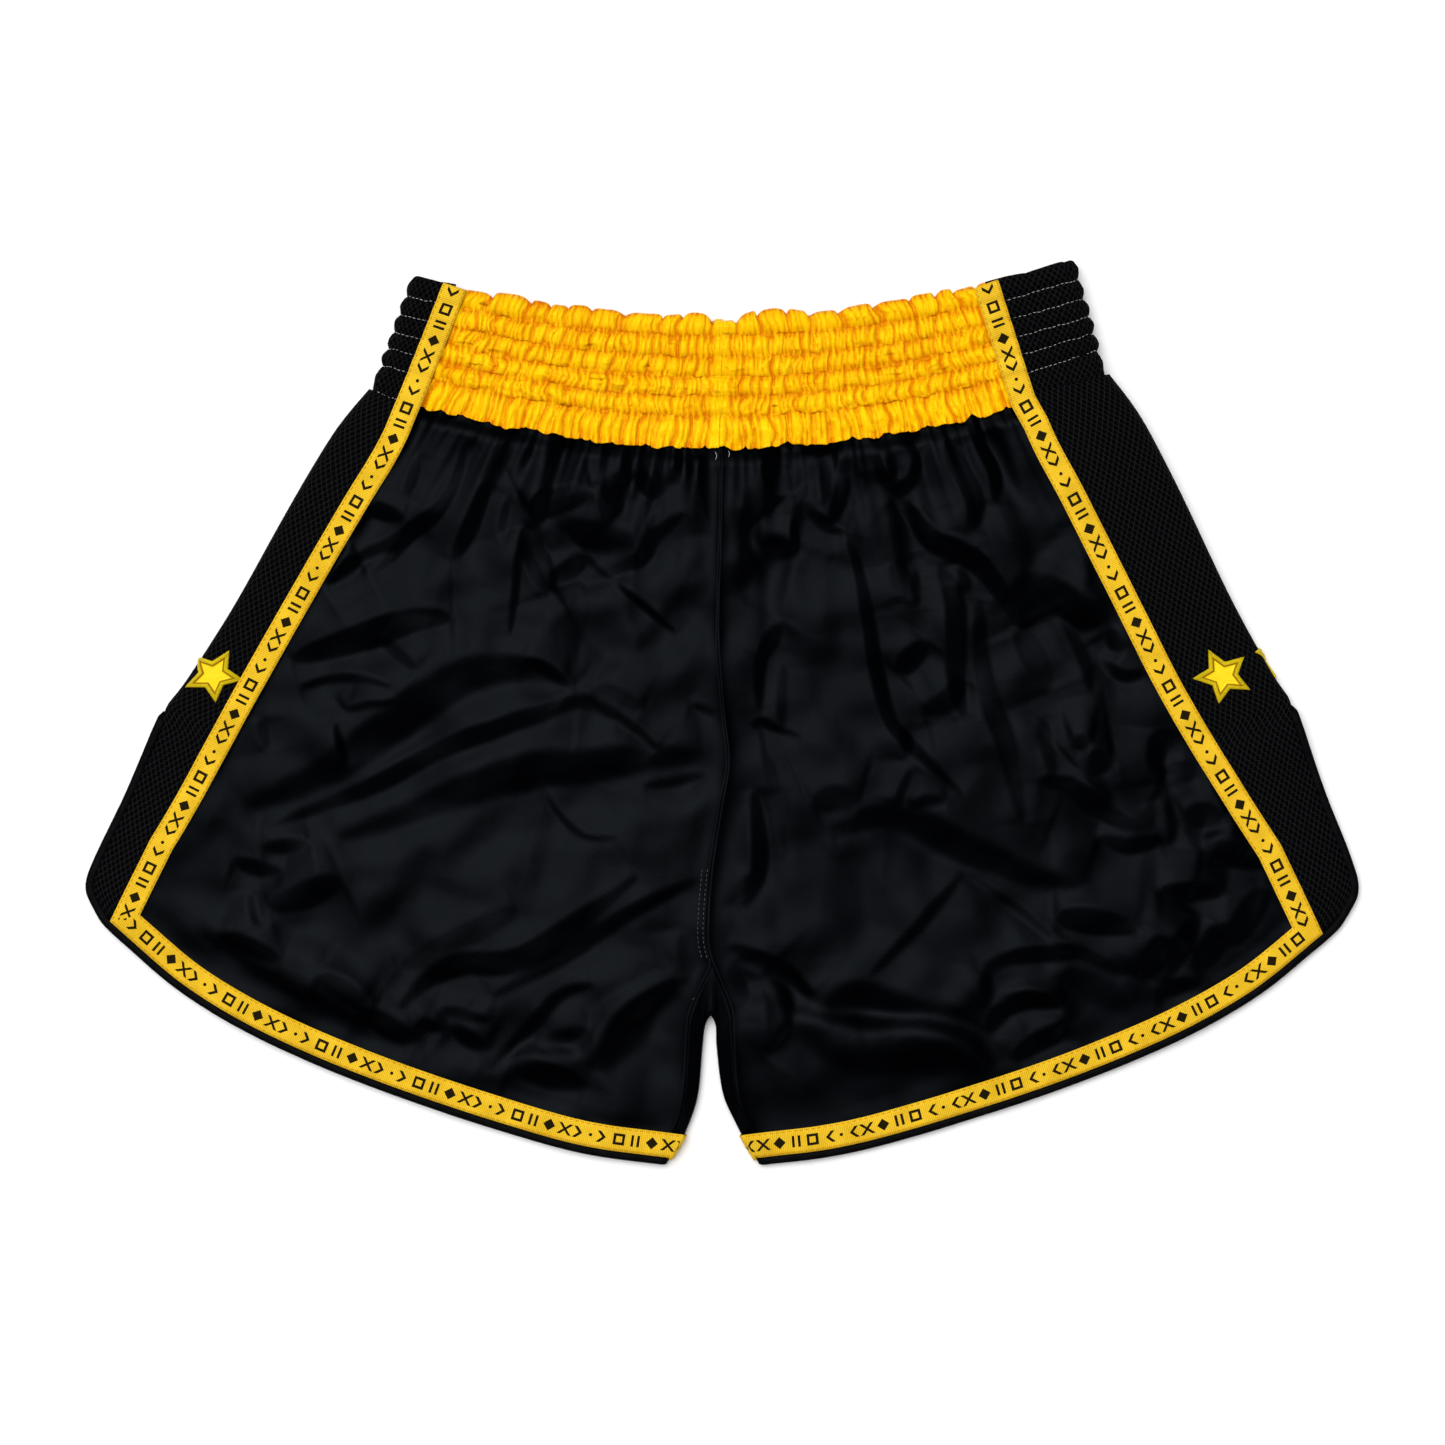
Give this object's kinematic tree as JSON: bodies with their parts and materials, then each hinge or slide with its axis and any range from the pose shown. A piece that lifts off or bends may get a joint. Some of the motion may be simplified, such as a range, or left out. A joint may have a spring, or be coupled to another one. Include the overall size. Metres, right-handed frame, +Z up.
{
  "type": "boxing shorts",
  "caption": "Short flared fight shorts lying flat: ruched waistband, satin legs, mesh sides with vents, woven trim tape and star patches.",
  "frame": {"origin": "centre of the garment's footprint on the table it lies on", "axes": "+X across the garment towards its right edge as seen from above, +Y from the hems to the waistband, +Z up out of the front face; left means -X"},
  "size_m": [0.6357, 0.4511, 0.02],
  "materials": {
    "satin_black": "satin weave with soft highlights",
    "satin_yellow": "gathered satin",
    "mesh_black": "matte knitted mesh",
    "tape_yellow": "woven tape with black motifs",
    "binding_black": "matte knitted binding",
    "elastic": "braided elastic",
    "patch_yellow": "embroidered twill"
  },
  "bodies": {
    "root": {"front_panel_left": "satin_black", "front_panel_right": "satin_black", "back_panel_left": "satin_black", "back_panel_right": "satin_black", "side_panel_left": "mesh_black", "side_panel_right": "mesh_black", "crotch_gusset": "satin_black", "waistband_front_left": "satin_yellow", "waistband_front_right": "satin_yellow", "waistband_back_left": "satin_yellow", "waistband_back_right": "satin_yellow", "waistband_side_left": "mesh_black", "waistband_side_right": "mesh_black", "elastic_strap_1": "elastic", "elastic_strap_2": "elastic", "elastic_strap_3": "elastic", "elastic_strap_4": "elastic", "elastic_strap_5": "elastic", "elastic_strap_6": "elastic", "trim_tape_left": "tape_yellow", "trim_tape_right": "tape_yellow", "hem_binding_left": "binding_black", "hem_binding_right": "binding_black", "star_front_left": "patch_yellow", "star_front_right": "patch_yellow", "star_back_left": "patch_yellow", "star_fold_right": "patch_yellow"}
  },
  "joints": []
}
